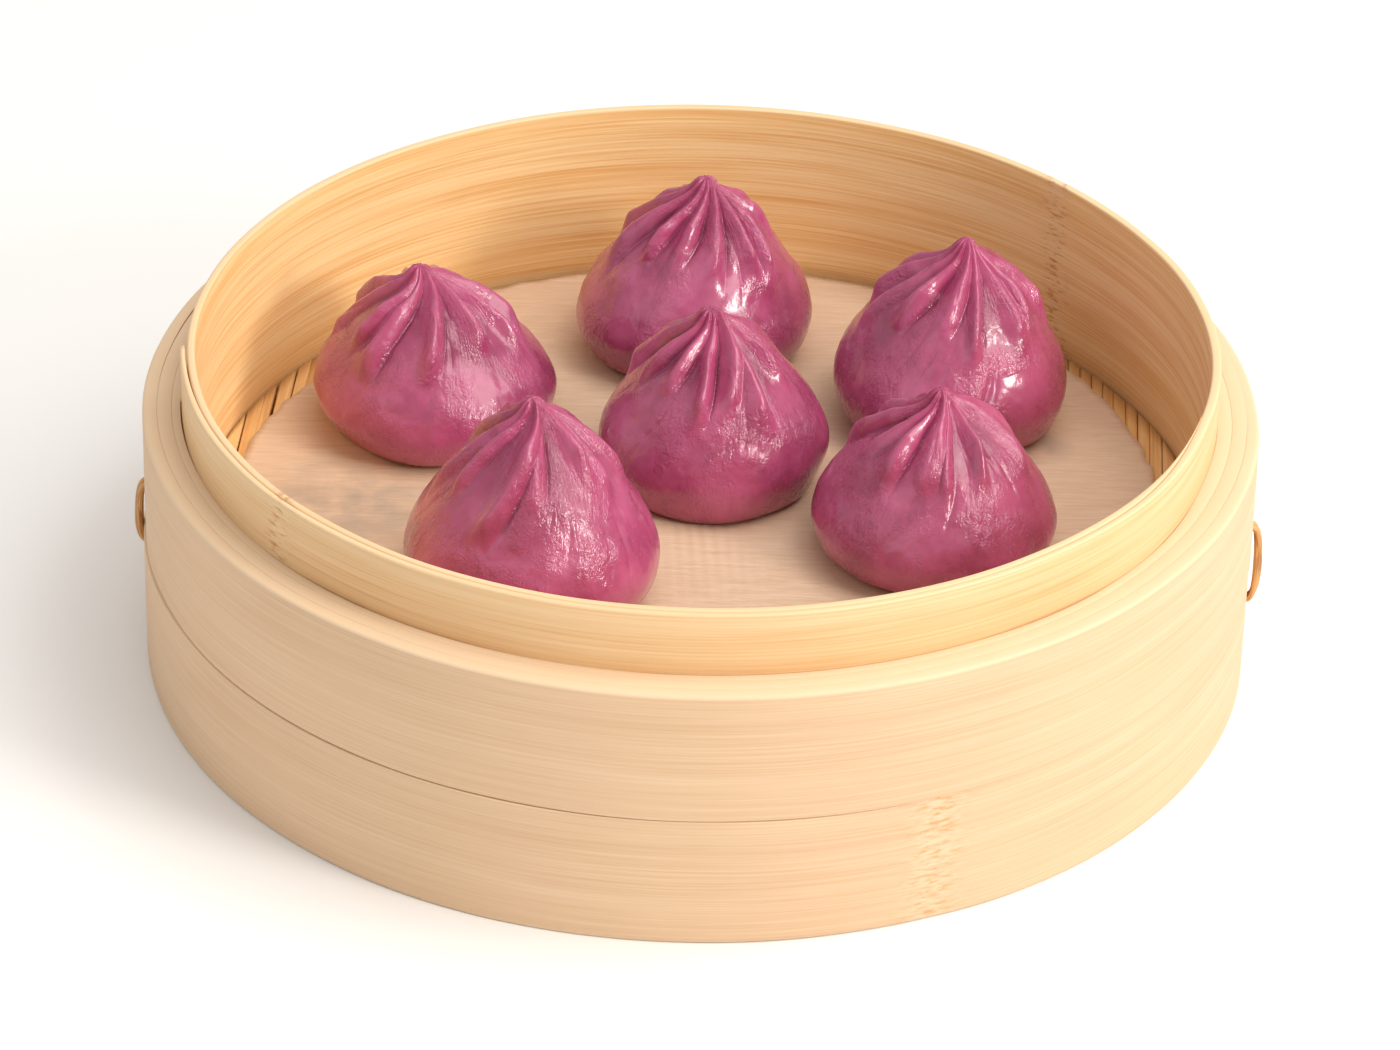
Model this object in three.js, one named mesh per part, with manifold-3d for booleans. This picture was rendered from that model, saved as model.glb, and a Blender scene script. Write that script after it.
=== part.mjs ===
// A round bamboo steamer tier with six pleated soup dumplings on a cloth liner.
//
// Millimetres, +Z up. The origin is the middle of the steamer's underside and +Y points to its back.
// Two wound bands stand one on the other and hold a taller inner ring. A hoop inside the ring carries
// three cross bars, the bars carry a mat of slats, and the liner and the dumplings lie on the mat.

import * as THREE from 'three';
import { mergeVertices } from 'three/addons/utils/BufferGeometryUtils.js';
import Module from 'manifold-3d';

const wasm = await Module();
wasm.setup();

// Basket: radii and heights of the wound bamboo
const FACETS = 72;             // sides of every round part, so that nested walls stay parallel
const FIT = 0.3;               // gap between neighbouring pieces
const BAND_RADIUS = 105;       // outside of the two bands
const LOWER_BORE = 98.6;       // inside of the lower band, which sits a little askew
const LOWER_SHIFT = -0.5;      // how far the lower band stands to the left
const SEAM_HEIGHT = 25.9;      // where the two bands meet
const LEDGE_HEIGHT = 51.8;     // top of the upper band
const BAND_EDGE = 0.7;         // bevel along the bands' outer edges
const RING_BORE = 94.9;        // inside of the inner ring
const RING_RADIUS = 96.5;      // outside of the ring where the strip lies in one layer
const LAP_RADIUS = 97.7;       // outside of the ring where the strip laps over itself
const LAP_START = 185;         // azimuth of the strip's outer end, in degrees
const LAP_END = 345;           // azimuth where the strip climbs over its inner end
const STEP_ROOM = 0.4;         // room beside each end of the lap inside the upper band, in degrees
const RING_FOOT = 13;          // underside of the ring, above a socket for the tier below
const RIM_HEIGHT = 64;         // top of the ring

// Floor: hoop, cross bars, slats and liner, one on the other
const HOOP_WALL = 4;
const HOOP_HEIGHT = 6.3;
const BAR_WIDTH = 8;
const BAR_HEIGHT = 5.7;
const BAR_PLACES = { front: -46, middle: 0, back: 46 };
const SLAT_PITCH = 2.36;       // from slat to slat
const SLAT_COUNT = 80;
const SLAT_THICKNESS = 1.8;
const GROOVE_WIDTH = 0.5;      // between two slats
const GROOVE_DEPTH = 1.1;
const SLAT_TURN = -3;          // degrees that the slats stand off the line from front to back
const LINER_RADIUS = 88.3;
const LINER_THICKNESS = 0.5;
const LINER_CENTRE = { x: -0.4, y: 5.9 };

// Ties: one loop of cane on each side, out of the upper band and into the lower one
const CANE_WIDTH = 2.6;
const CANE_THICKNESS = 1.3;
const CANE_ROOT = 3;           // length of each end inside the band's wall
const TIE_REACH = 2.1;         // how far a loop stands out of the upper band
const TIE_ROOM = 1.7;          // how much taller a drilled hole is than the cane in it
const TIE_BEND = 2.4;          // height of the bend at each end of a loop
const TIE_LEFT = { azimuth: 184, top: 34.4, foot: 22.2 };
const TIE_RIGHT = { azimuth: -4, top: 30.4, foot: 14.4 };

// Dumplings: centre, radius at the belly, height, tip's offset to the right, pleats and their turn
const DUMPLINGS = {
  back: { x: -2.7, y: 61.5, radius: 23.2, height: 37.3, lean: 2.3, pleats: 14, turn: 20, phase: 0.3 },
  left: { x: -51.7, y: 30.3, radius: 23.7, height: 33.3, lean: -2.8, pleats: 13, turn: 26, phase: 1.1 },
  right: { x: 47.8, y: 35.3, radius: 23.0, height: 39.0, lean: 2.1, pleats: 14, turn: 18, phase: 2.0 },
  front_left: { x: -30.8, y: -33.1, radius: 23.8, height: 41, lean: -1.3, pleats: 13, turn: 24, phase: 2.9 },
  middle: { x: 2.2, y: 11.5, radius: 22.5, height: 35.7, lean: 0.4, pleats: 14, turn: 20, phase: 4.1 },
  front_right: { x: 43.5, y: -14.1, radius: 23.0, height: 33.9, lean: 1.8, pleats: 14, turn: 22, phase: 5.2 },
};
// Share of the belly radius and of the height, from the middle of the foot up to the tip
const DUMPLING_PROFILE = [
  [0.0, 0.0], [0.76, 0.0], [0.91, 0.065], [1.0, 0.2], [0.965, 0.33], [0.85, 0.455],
  [0.71, 0.6], [0.55, 0.73], [0.35, 0.83], [0.18, 0.9], [0.11, 0.945], [0.075, 0.985], [0.0, 1.0],
];
const PLEATS_START = 0.28;     // share of the height where the pleats begin
const PLEATS_FULL = 0.72;      // and where they are deepest
const PLEAT_DEPTH = 2.4;       // from ridge to valley, half of it each way, where pleats are deepest
const PLEAT_UNEVENNESS = 0.1;  // how far pleats are off their even spacing, in radians
const BELLY_LUMPS = 0.35;      // how far the belly is out of round
const TIP_SHARE = 0.4;         // share of the belly radius inside which the pleats flatten out

// Heights that follow from the sizes above
const HOOP_BASE = RING_FOOT;
const BAR_BASE = HOOP_BASE + HOOP_HEIGHT + FIT;
const SLAT_BASE = BAR_BASE + BAR_HEIGHT + FIT;
const LINER_BASE = SLAT_BASE + SLAT_THICKNESS + FIT;
const FOOD_BASE = LINER_BASE + LINER_THICKNESS + FIT;
const FLOOR_RADIUS = RING_BORE - FIT;

const paint = (color, roughness) => new THREE.MeshStandardMaterial({ color, roughness, metalness: 0 });
const FINISHES = {
  band: paint('#ecc79d', 0.6),
  ring: paint('#e6b982', 0.55),
  underside: paint('#d9b07c', 0.7),
  slats: paint('#dca264', 0.65),
  cane: paint('#cf9a58', 0.6),
  liner: paint('#e3c0a0', 0.9),
  dough: paint('#a8456b', 0.3),
};

function mesh(name, geometry, material) {
  const piece = new THREE.Mesh(geometry, material);
  piece.name = name;
  return piece;
}

// Booleans: to a manifold solid and back
function toSolid(geometry) {
  const bare = geometry.clone();
  bare.deleteAttribute('normal');
  bare.deleteAttribute('uv');
  const merged = mergeVertices(bare, 1e-4);
  return new wasm.Manifold(new wasm.Mesh({
    numProp: 3,
    vertProperties: merged.attributes.position.array,
    triVerts: new Uint32Array(merged.index.array),
  }));
}

function fromSolid(solid) {
  const { vertProperties, triVerts } = solid.getMesh();
  const geometry = new THREE.BufferGeometry();
  geometry.setAttribute('position', new THREE.BufferAttribute(vertProperties, 3));
  geometry.setIndex(new THREE.BufferAttribute(triVerts, 1));
  return geometry;
}

// Points every 360 / FACETS degrees along an arc about the origin, azimuths in degrees
function arc(radius, from, to) {
  const steps = Math.round((Math.abs(to - from) * FACETS) / 360);
  return Array.from({ length: steps + 1 }, (_, i) => {
    const angle = THREE.MathUtils.degToRad(from + ((to - from) * i) / steps);
    return new THREE.Vector2(radius * Math.cos(angle), radius * Math.sin(angle));
  });
}

// A plan outline with a round bore, carried upwards
function upright(outline, bore, base, height) {
  const plan = new THREE.Shape(outline);
  plan.holes.push(new THREE.Path(arc(bore, 360, 0)));
  return new THREE.ExtrudeGeometry(plan, { depth: height, bevelEnabled: false }).translate(0, 0, base);
}

// Plan outline of the ring, wider where its strip laps, grown outwards and along the lap
function ringOutline(grown, longer) {
  return [
    ...arc(LAP_RADIUS + grown, LAP_START - longer, LAP_END + longer),
    ...arc(RING_RADIUS + grown, LAP_END + longer, LAP_START + 360 - longer),
  ];
}

// A wound band with bevelled outer edges
function band(bore, base, top) {
  const profile = [
    [bore, base], [BAND_RADIUS - BAND_EDGE, base], [BAND_RADIUS, base + BAND_EDGE],
    [BAND_RADIUS, top - BAND_EDGE], [BAND_RADIUS - BAND_EDGE, top], [bore, top], [bore, base],
  ];
  const points = profile.map(([radius, height]) => new THREE.Vector2(radius, height));
  return new THREE.LatheGeometry(points, FACETS).rotateX(Math.PI / 2);
}

// The hole through which one end of a tie passes, as a solid to cut away
function tieHole(azimuth, height) {
  const width = CANE_WIDTH + 2 * FIT;
  const depth = CANE_ROOT + 2 * FIT;
  return toSolid(
    new THREE.BoxGeometry(2 * depth, width, CANE_THICKNESS + TIE_ROOM)
      .translate(BAND_RADIUS, 0, height)
      .rotateZ(THREE.MathUtils.degToRad(azimuth)),
  );
}

// A flat strip of cane out of one hole, down outside the band and into the other
function tie({ azimuth, top, foot }) {
  const inside = BAND_RADIUS - CANE_ROOT;
  const outside = BAND_RADIUS + TIE_REACH - CANE_THICKNESS / 2;
  const route = new THREE.CurvePath();
  const at = (radius, height) => new THREE.Vector3(radius, 0, height);
  route.add(new THREE.LineCurve3(at(inside, top), at(BAND_RADIUS, top)));
  const upper = at(outside, top - TIE_BEND);
  const lower = at(outside, foot + TIE_BEND);
  route.add(new THREE.QuadraticBezierCurve3(at(BAND_RADIUS, top), at(outside, top), upper));
  route.add(new THREE.LineCurve3(upper, lower));
  route.add(new THREE.QuadraticBezierCurve3(lower, at(outside, foot), at(BAND_RADIUS, foot)));
  route.add(new THREE.LineCurve3(at(BAND_RADIUS, foot), at(inside, foot)));
  const section = new THREE.Shape(new THREE.EllipseCurve(
    0, 0, CANE_THICKNESS / 2, CANE_WIDTH / 2,
  ).getPoints(6));
  return new THREE.ExtrudeGeometry(section, { steps: 14, extrudePath: route })
    .rotateZ(THREE.MathUtils.degToRad(azimuth));
}

// Bar across the floor, just short of the ring at its corners
function crossBar(y) {
  const corner = Math.abs(y) + BAR_WIDTH / 2;
  const length = 2 * Math.sqrt(FLOOR_RADIUS ** 2 - corner ** 2) - 2 * FIT;
  return new THREE.BoxGeometry(length, BAR_WIDTH, BAR_HEIGHT)
    .translate(0, y, BAR_BASE + BAR_HEIGHT / 2);
}

// The slats as one comb-shaped section, trimmed round
function slatMat() {
  const half = (SLAT_COUNT * SLAT_PITCH) / 2;
  const section = [new THREE.Vector2(-half, 0), new THREE.Vector2(half, 0)];
  for (let i = SLAT_COUNT; i > 0; i--) {
    const right = -half + i * SLAT_PITCH;
    const left = right - SLAT_PITCH + GROOVE_WIDTH;
    section.push(new THREE.Vector2(right, SLAT_THICKNESS), new THREE.Vector2(left, SLAT_THICKNESS));
    if (i > 1) {
      section.push(new THREE.Vector2(left, SLAT_THICKNESS - GROOVE_DEPTH));
      section.push(new THREE.Vector2(left - GROOVE_WIDTH, SLAT_THICKNESS - GROOVE_DEPTH));
    }
  }
  const shape = new THREE.Shape(section);
  const comb = new THREE.ExtrudeGeometry(shape, { depth: 2 * half, bevelEnabled: false })
    .translate(0, 0, -half)
    .rotateX(Math.PI / 2)
    .rotateZ(THREE.MathUtils.degToRad(SLAT_TURN));
  const round = new THREE.CylinderGeometry(FLOOR_RADIUS, FLOOR_RADIUS, 2 * SLAT_THICKNESS, FACETS)
    .rotateX(Math.PI / 2)
    .translate(0, 0, SLAT_THICKNESS / 2);
  return fromSolid(toSolid(comb).intersect(toSolid(round))).translate(0, 0, SLAT_BASE);
}

function liner() {
  return new THREE.CylinderGeometry(LINER_RADIUS, LINER_RADIUS, LINER_THICKNESS, FACETS)
    .rotateX(Math.PI / 2)
    .translate(LINER_CENTRE.x, LINER_CENTRE.y, LINER_BASE + LINER_THICKNESS / 2);
}

// How strongly the pleats show at a share of the height: none at the belly, most under the tip
const pleatStrength = (share) => THREE.MathUtils.smoothstep(share, PLEATS_START, PLEATS_FULL);

// A dumpling: a turned form whose columns are pushed out at the ridges and in at the valleys.
// The pleats wind round as they rise, the belly is a little out of round and the tip leans over.
function dumpling({ radius, height, lean, pleats, turn, phase }) {
  const profile = DUMPLING_PROFILE.map(([r, h]) => new THREE.Vector2(r * radius, h * height));
  const form = new THREE.LatheGeometry(profile, 2 * pleats).rotateX(Math.PI / 2);
  const place = form.attributes.position;
  for (let i = 0; i < place.count; i++) {
    const reach = Math.hypot(place.getX(i), place.getY(i));
    const angle = Math.atan2(place.getY(i), place.getX(i)) + Math.PI / 2;
    const z = place.getZ(i);
    const share = z / height;
    const slack = Math.min(1, reach / (TIP_SHARE * radius));
    const pleat = (PLEAT_DEPTH / 2) * pleatStrength(share) * slack * Math.cos(pleats * angle);
    const lumps = BELLY_LUMPS * Math.sin(2 * angle + phase) * (1 - share) * (reach / radius);
    const uneven = PLEAT_UNEVENNESS * (Math.sin(2 * angle + phase) + Math.sin(3 * angle - phase));
    const wound = angle + uneven + THREE.MathUtils.degToRad(turn) * share ** 2 + phase;
    const out = reach + (reach > 1e-6 ? pleat + lumps : 0);
    place.setXY(i, out * Math.cos(wound) + lean * share ** 2, out * Math.sin(wound));
  }
  return form;
}

const steamer = new THREE.Group();

// The upper band fits the ring closely all round, with a pocket for the lap
const upperBore = RING_RADIUS + FIT;
const lapPocket = upright(ringOutline(FIT, STEP_ROOM), RING_BORE, 0, RIM_HEIGHT);
const upperBand = toSolid(band(upperBore, SEAM_HEIGHT + FIT / 2, LEDGE_HEIGHT))
  .subtract(toSolid(lapPocket))
  .subtract(tieHole(TIE_LEFT.azimuth, TIE_LEFT.top))
  .subtract(tieHole(TIE_RIGHT.azimuth, TIE_RIGHT.top));
steamer.add(mesh('upper_band', fromSolid(upperBand), FINISHES.band));

const lowerBand = toSolid(band(LOWER_BORE, 0, SEAM_HEIGHT - FIT / 2).translate(LOWER_SHIFT, 0, 0))
  .subtract(tieHole(TIE_LEFT.azimuth, TIE_LEFT.foot))
  .subtract(tieHole(TIE_RIGHT.azimuth, TIE_RIGHT.foot));
steamer.add(mesh('lower_band', fromSolid(lowerBand), FINISHES.band));

const innerRing = upright(ringOutline(0, 0), RING_BORE, RING_FOOT, RIM_HEIGHT - RING_FOOT);
steamer.add(mesh('inner_ring', innerRing, FINISHES.ring));

const hoop = upright(arc(FLOOR_RADIUS, 0, 360), FLOOR_RADIUS - HOOP_WALL, HOOP_BASE, HOOP_HEIGHT);
steamer.add(mesh('support_hoop', hoop, FINISHES.underside));

for (const [place, y] of Object.entries(BAR_PLACES)) {
  steamer.add(mesh(`cross_bar_${place}`, crossBar(y), FINISHES.underside));
}

steamer.add(mesh('slat_mat', slatMat(), FINISHES.slats));
steamer.add(mesh('liner', liner(), FINISHES.liner));
steamer.add(mesh('tie_left', tie(TIE_LEFT), FINISHES.cane));
steamer.add(mesh('tie_right', tie(TIE_RIGHT), FINISHES.cane));

for (const [place, sizes] of Object.entries(DUMPLINGS)) {
  const piece = mesh(`dumpling_${place}`, dumpling(sizes), FINISHES.dough);
  piece.position.set(sizes.x, sizes.y, FOOD_BASE);
  steamer.add(piece);
}

export default steamer;
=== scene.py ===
"""Looks of a bamboo steamer tier with six purple soup dumplings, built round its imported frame.

The frame is in metres, +Z up, with the origin under the middle of the steamer. Sizes in this file are
in millimetres and are turned into metres as each mesh is made. Azimuths are counted anticlockwise
from +X, seen from above, so the steamer's front is at -90 degrees.
"""

import logging
import math
from dataclasses import dataclass, field
from enum import Enum
from typing import Any

import bpy
import numpy as np
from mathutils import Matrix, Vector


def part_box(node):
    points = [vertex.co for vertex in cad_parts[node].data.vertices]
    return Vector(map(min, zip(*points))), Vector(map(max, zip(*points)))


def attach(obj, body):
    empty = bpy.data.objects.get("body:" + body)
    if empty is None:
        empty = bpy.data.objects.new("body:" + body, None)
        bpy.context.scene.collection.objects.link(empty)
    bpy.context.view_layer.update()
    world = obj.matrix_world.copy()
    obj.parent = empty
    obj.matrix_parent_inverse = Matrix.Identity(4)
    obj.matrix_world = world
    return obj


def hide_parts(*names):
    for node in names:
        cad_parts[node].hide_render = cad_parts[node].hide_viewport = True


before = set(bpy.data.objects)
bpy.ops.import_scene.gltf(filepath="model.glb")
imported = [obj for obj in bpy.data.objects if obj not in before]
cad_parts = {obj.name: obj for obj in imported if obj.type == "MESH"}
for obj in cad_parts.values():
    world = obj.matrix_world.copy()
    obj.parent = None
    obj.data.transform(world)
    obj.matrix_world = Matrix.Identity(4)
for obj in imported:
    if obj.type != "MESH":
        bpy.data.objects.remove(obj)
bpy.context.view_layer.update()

Array = np.ndarray
MM = 0.001
BODY = "root"
log = logging.getLogger("steamer")


class Winding(Enum):
    """Which way something turns, seen from above."""

    ANTICLOCKWISE = 1
    CLOCKWISE = -1


class Slot(Enum):
    """The record's material slots."""

    BAND = "bamboo_band"
    RING = "bamboo_ring"
    UNDERSIDE = "bamboo_underside"
    SLATS = "bamboo_slats"
    CANE = "rattan"
    CLOTH = "steaming_cloth"
    DOUGH = "purple_dough"


# Shapes worked out as arrays


def smooth(low: float, high: float, x: Array) -> Array:
    """A smooth step: 0 below low, 1 above high, and 3t^2 - 2t^3 in between.

    Args:
        low: where the step starts.
        high: where the step ends.
        x: the values to step over.

    Returns:
        The step's height at each value.
    """
    t = np.clip((np.asarray(x, float) - low) / (high - low), 0, 1)
    return t * t * (3 - 2 * t)


def hump(middle: float, width: float, x: Array) -> Array:
    """A bell: e to the minus square of the distance from the middle over the width.

    Args:
        middle: where the bell is highest.
        width: how far from the middle it has fallen to 1/e.
        x: the values to work it out at.

    Returns:
        The bell's height at each value, from 0 to 1.
    """
    return np.exp(-(((np.asarray(x, float) - middle) / width) ** 2))


def around(angle: Array) -> Array:
    """The same angle in radians, brought between minus and plus half a turn.

    Args:
        angle: angles in radians, of any size.

    Returns:
        The angles between minus pi and pi.
    """
    return (angle + math.pi) % math.tau - math.pi


def curve_through(knots: Array, share: Array) -> Array:
    """A Catmull-Rom curve: cubic pieces that pass through every knot with a smooth tangent.

    Args:
        knots: the points, one a row.
        share: how far along the knots each wanted point lies, from 0 to 1.

    Returns:
        The wanted points, one a row.
    """
    spans = len(knots) - 1
    ends = np.vstack([2 * knots[0] - knots[1], knots, 2 * knots[-1] - knots[-2]])
    place = np.clip(share, 0, 1) * spans
    first = np.minimum(place.astype(int), spans - 1)
    t = (place - first)[:, None]
    a, b, c, d = (ends[first + k] for k in range(4))
    return 0.5 * (2 * b + (c - a) * t + (2 * a - 5 * b + 4 * c - d) * t**2 + (3 * b - a - 3 * c + d) * t**3)


@dataclass(frozen=True)
class Unevenness:
    """Smooth random unevenness: the mean of sine waves of about one length in random directions."""

    seed: int
    length: float
    waves: int = 20

    def at(self, points: Array) -> Array:
        """Height of the unevenness, mostly between -1 and 1.

        Args:
            points: places in millimetres, their three coordinates on the last axis.

        Returns:
            One height a place.
        """
        draw = np.random.default_rng(self.seed)
        way = draw.normal(size=(self.waves, 3))
        way /= np.linalg.norm(way, axis=1, keepdims=True)
        way *= math.tau / (self.length * draw.uniform(0.7, 1.5, (self.waves, 1)))
        start = draw.uniform(0, math.tau, self.waves)
        total = np.zeros(points.shape[:-1])
        for k in range(self.waves):
            total += np.sin(points @ way[k] + start[k])
        return total * math.sqrt(2 / self.waves) / 1.6


@dataclass
class Skin:
    """A surface under construction: points in millimetres, faces, and what its finish reads."""

    points: Array
    faces: list[list[int]]
    corners: Array | None = None
    values: dict[str, Array] = field(default_factory=dict)

    def piece(self, name: str, stands_for: list[str], slot: Slot) -> bpy.types.Object:
        """Makes the mesh object, smooth, at the origin, riding on the object's body.

        Args:
            name: the piece's name.
            stands_for: the CAD nodes that it replaces.
            slot: the record's material slot for the piece; not used.

        Returns:
            The new object.
        """
        mesh = bpy.data.meshes.new(name)
        mesh.from_pydata((self.points * MM).tolist(), [], self.faces)
        mesh.polygons.foreach_set("use_smooth", np.ones(len(self.faces), bool))
        if self.corners is not None:
            mesh.uv_layers.new(name="length").data.foreach_set("uv", self.corners.astype(np.float32).ravel())
        for key, numbers in self.values.items():
            stored = mesh.attributes.new(key, "FLOAT", "POINT")
            stored.data.foreach_set("value", numbers.astype(np.float32).ravel())
        mesh.validate()
        mesh.update()
        made = bpy.data.objects.new(name, mesh)
        bpy.context.scene.collection.objects.link(made)
        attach(made, BODY)
        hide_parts(*stands_for)
        log.info("%s: %d faces, stands for %s", name, len(mesh.polygons), ", ".join(stands_for))
        return made


def grid_faces(rows: int, columns: int, rows_close: bool, columns_close: bool) -> tuple[Array, Array]:
    """The four-sided faces of a grid whose point (i, j) has the number i * columns + j.

    Args:
        rows: the number of points along the first parameter.
        columns: the number of points along the second parameter.
        rows_close: whether the last row joins the first.
        columns_close: whether the last column joins the first.

    Returns:
        The four point numbers of each face, and the grid places (i, j) of its corners, not wrapped.
    """
    i, j = np.meshgrid(
        np.arange(rows if rows_close else rows - 1),
        np.arange(columns if columns_close else columns - 1),
        indexing="ij",
    )
    places = np.stack([np.stack([i, i + 1, i + 1, i], -1), np.stack([j, j, j + 1, j + 1], -1)], -1)
    places = places.reshape(-1, 4, 2)
    numbers = (places[..., 0] % rows) * columns + places[..., 1] % columns
    return numbers, places


def carried(points: Array, lengths: Array | None = None, values: dict[str, Array] | None = None) -> Skin:
    """A closed section carried along an open path, with a flat cap on each end.

    Args:
        points: a grid of points, the path on the first axis and the section on the second. The section
            turns so that its direction crossed into the path's points inwards.
        lengths: for each grid point, and one more section point that closes the section, how far along
            the path and round the section it is, in metres.
        values: numbers for each grid point, by attribute name.

    Returns:
        The closed skin.
    """
    steps, around_it = points.shape[:2]
    numbers, places = grid_faces(steps, around_it, False, True)
    first = list(range(around_it))
    last = [(steps - 1) * around_it + k for k in reversed(range(around_it))]
    corners = None
    if lengths is not None:
        sides = lengths[places[..., 0], places[..., 1]].reshape(-1, 2)
        corners = np.vstack([sides, lengths[0, :around_it], lengths[-1, :around_it][::-1]])
    return Skin(points.reshape(-1, 3), [*numbers.tolist(), first, last], corners, dict(values or {}))


def turned(points: Array, lengths: Array, values: dict[str, Array] | None = None) -> Skin:
    """A closed form whose columns run from a lower pole to an upper pole.

    Args:
        points: a grid of points, the way round on the first axis and the rise on the second. All
            points of the first and of the last column are one point, the pole.
        lengths: for each grid point, and one more row that closes the way round, how far round and
            how far up it is, in metres.
        values: numbers for each grid point, by attribute name.

    Returns:
        The closed skin, each pole one point with a fan of triangles.
    """
    across, rise = points.shape[:2]
    body = points[:, 1:-1]
    numbers, places = grid_faces(across, rise - 2, True, False)
    sides = lengths[places[..., 0], places[..., 1] + 1].reshape(-1, 2)
    foot = np.stack([lengths[:-1, 0], lengths[1:, 1], lengths[:-1, 1]], 1).reshape(-1, 2)
    tip = np.stack([lengths[:-1, -1], lengths[:-1, -2], lengths[1:, -2]], 1).reshape(-1, 2)
    low, high = across * (rise - 2), across * (rise - 2) + 1
    ring = np.arange(across)
    following = (ring + 1) % across
    bottom = ring * (rise - 2)
    top = bottom + rise - 3
    foot_fan = np.stack([np.full(across, low), following * (rise - 2), bottom], 1)
    tip_fan = np.stack([np.full(across, high), top, following * (rise - 2) + rise - 3], 1)
    flat = np.vstack([body.reshape(-1, 3), points[:, 0].mean(0), points[:, -1].mean(0)])
    kept = {
        key: np.concatenate([grid[:, 1:-1].ravel(), [grid[:, 0].mean()], [grid[:, -1].mean()]])
        for key, grid in (values or {}).items()
    }
    faces = [*numbers.tolist(), *foot_fan.tolist(), *tip_fan.tolist()]
    return Skin(flat, faces, np.vstack([sides, foot, tip]), kept)


# Finishes


def linear(colour: str) -> tuple[float, float, float, float]:
    """An sRGB colour such as #a0b0c0 as linear red, green, blue and alpha.

    Args:
        colour: a hash and six hexadecimal digits.

    Returns:
        The four shares, from 0 to 1.
    """
    shares = [int(colour[k : k + 2], 16) / 255 for k in (1, 3, 5)]
    red, green, blue = (s / 12.92 if s <= 0.04045 else ((s + 0.055) / 1.055) ** 2.4 for s in shares)
    return red, green, blue, 1.0


@dataclass
class Shader:
    """A node material under construction."""

    name: str

    def __post_init__(self) -> None:
        """Starts an empty material with its output."""
        self.material = bpy.data.materials.new(self.name)
        self.material.use_nodes = True
        self.tree = self.material.node_tree
        self.tree.nodes.clear()

    def add(self, kind: str, settings: dict[Any, Any], links: dict[Any, Any] | None = None) -> bpy.types.Node:
        """Adds a node.

        Args:
            kind: the node's type without its ShaderNode prefix.
            settings: values for its sockets, by name or number, and for its properties, by name.
            links: what feeds its sockets: a socket, or a node for its first output.

        Returns:
            The new node.
        """
        node = self.tree.nodes.new("ShaderNode" + kind)
        for key, value in settings.items():
            if isinstance(key, int) or key in node.inputs:
                node.inputs[key].default_value = value
            else:
                setattr(node, key, value)
        for key, source in (links or {}).items():
            self.tree.links.new(source.outputs[0] if hasattr(source, "outputs") else source, node.inputs[key])
        return node

    def finish(self, surface: bpy.types.Node) -> bpy.types.Material:
        """Links the surface shader to the output.

        Args:
            surface: the node whose first output is the surface.

        Returns:
            The finished material.
        """
        self.add("OutputMaterial", {}, {"Surface": surface})
        return self.material


def ramp_of(node: bpy.types.Node, stops: list[tuple[float, str]]) -> bpy.types.Node:
    """Sets a colour ramp's stops.

    Args:
        node: the colour ramp node.
        stops: each stop's place, from 0 to 1, and its sRGB colour, in rising order.

    Returns:
        The same node.
    """
    elements = node.color_ramp.elements
    while len(elements) < len(stops):
        elements.new(1.0)
    for element, (place, colour) in zip(elements, stops):
        element.position = place
        element.color = linear(colour)
    return node


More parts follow.
